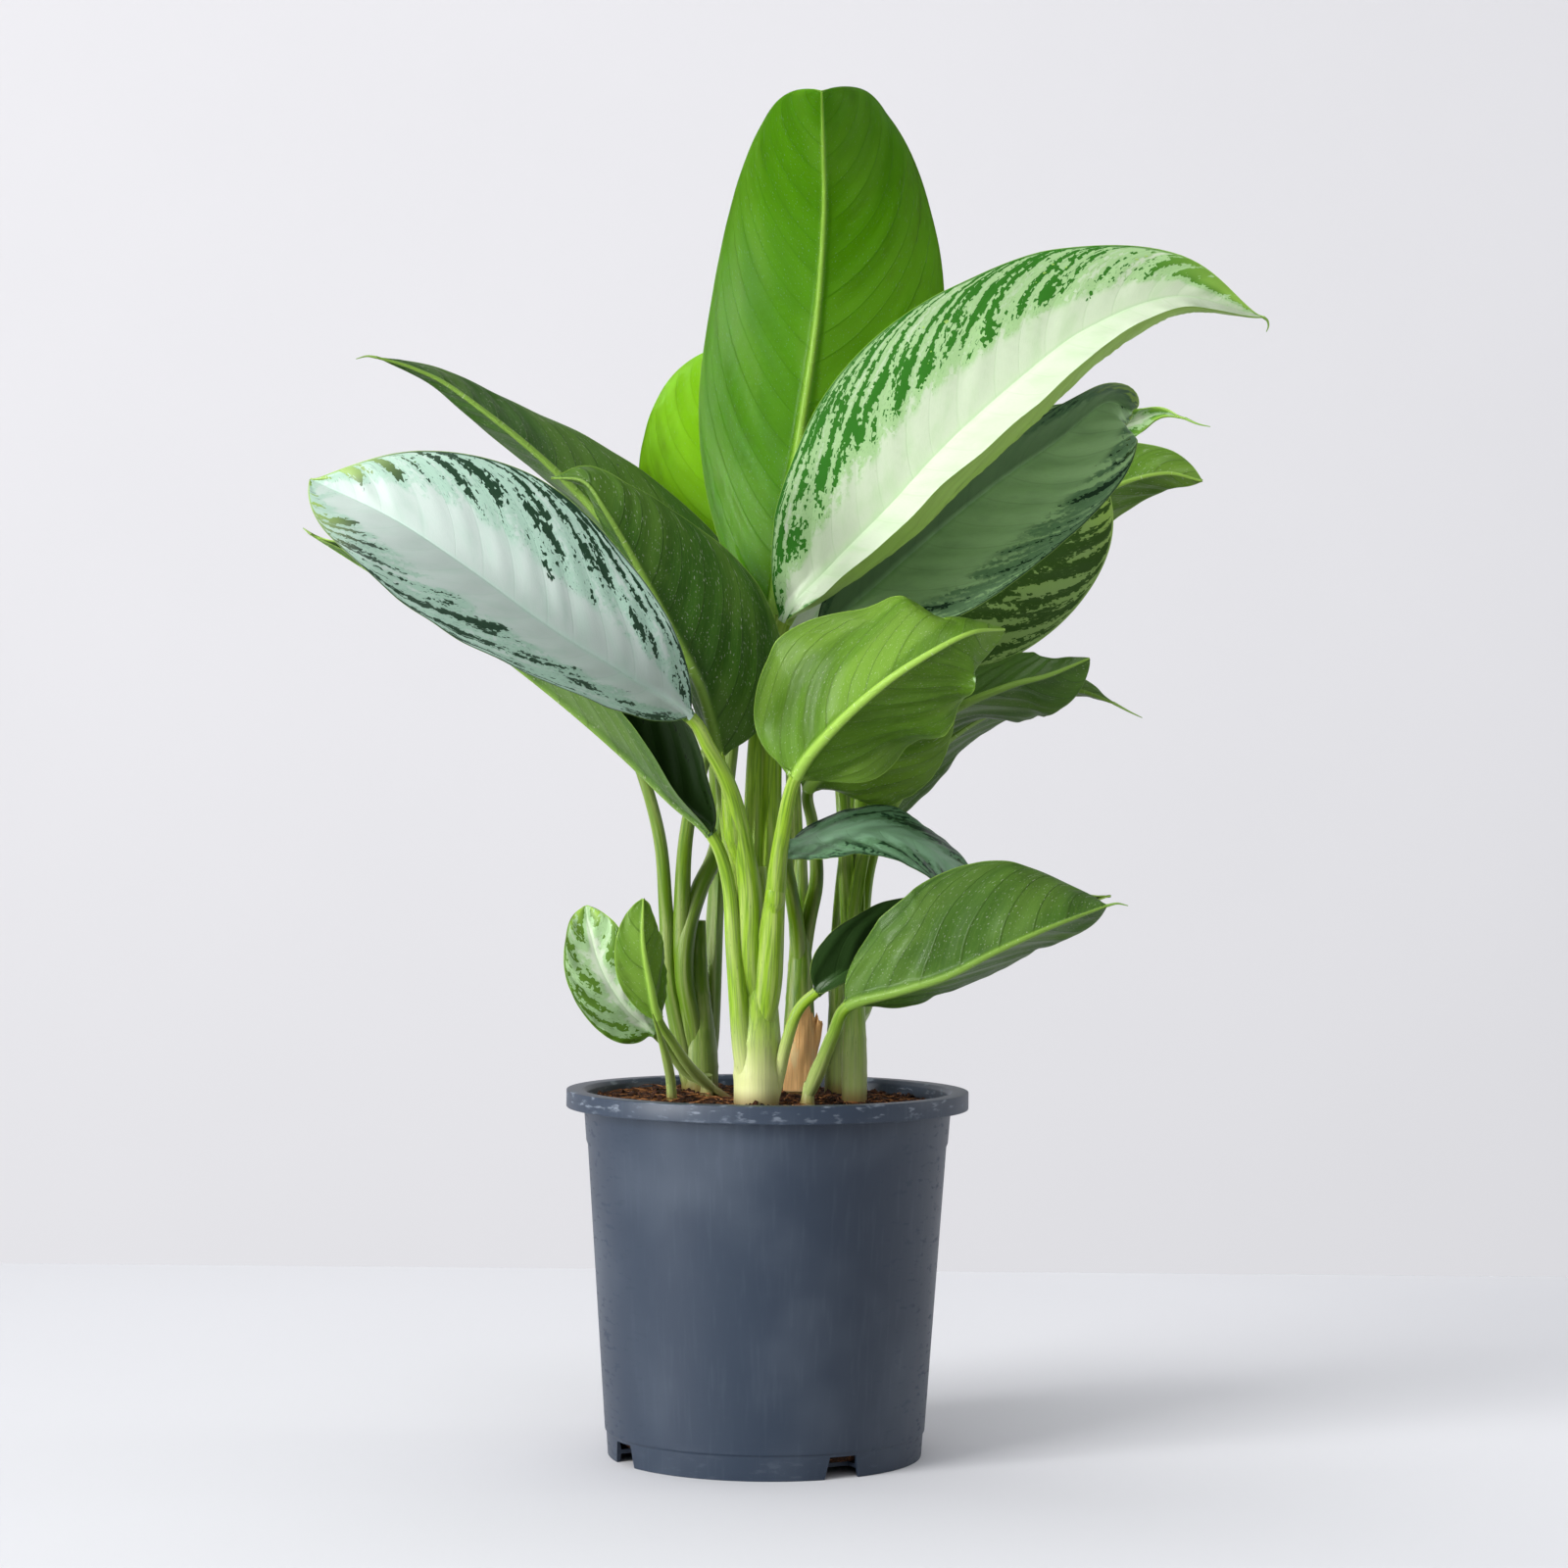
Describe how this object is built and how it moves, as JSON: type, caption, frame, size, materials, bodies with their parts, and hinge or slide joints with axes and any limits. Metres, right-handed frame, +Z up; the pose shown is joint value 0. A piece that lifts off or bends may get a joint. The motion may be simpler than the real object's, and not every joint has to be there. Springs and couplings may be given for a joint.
{
  "type": "potted chinese evergreen",
  "caption": "Potted Chinese evergreen: broad silver and green variegated leaves on pale sheathed stalks, in a tapered plastic nursery pot filled with coir soil.",
  "frame": {"origin": "on the surface that the pot stands on, in the middle of the pot's foot", "axes": "+Z up, -Y towards the viewer of the picture, +X to the viewer's right"},
  "size_m": [0.4395, 0.4321, 0.6388],
  "materials": {
    "pot": "satin",
    "soil": "matte",
    "stem": "satin",
    "leaf": "satin",
    "dry_sheath": "matte"
  },
  "bodies": {
    "root": {"pot": "pot", "soil": "soil", "shoot_front": "stem", "shoot_left": "stem", "shoot_right_back": "stem", "shoot_right": "stem", "shoot_right_inner": "stem", "shoot_small": "stem", "shoot_low_right": "stem", "new_shoot": "stem", "dry_sheath": "dry_sheath", "leaf_left_silver": "leaf", "leaf_left_low": "leaf", "leaf_top": "leaf", "leaf_right_silver": "leaf", "leaf_front_left": "leaf", "leaf_front_right": "leaf", "leaf_low_dark": "leaf", "leaf_left_behind": "leaf", "leaf_upper_left": "leaf", "leaf_top_left": "leaf", "leaf_back_left": "leaf", "leaf_small_silver": "leaf", "leaf_small_green": "leaf", "leaf_arching": "leaf", "leaf_mid_inner": "leaf", "leaf_back_centre": "leaf", "leaf_right_second": "leaf", "leaf_right_round": "leaf", "leaf_right_pointed": "leaf", "leaf_mid_right": "leaf", "leaf_right_far": "leaf", "leaf_right_glossy": "leaf", "leaf_back_right": "leaf", "leaf_low_right": "leaf", "leaf_back_low": "leaf"}
  },
  "joints": []
}
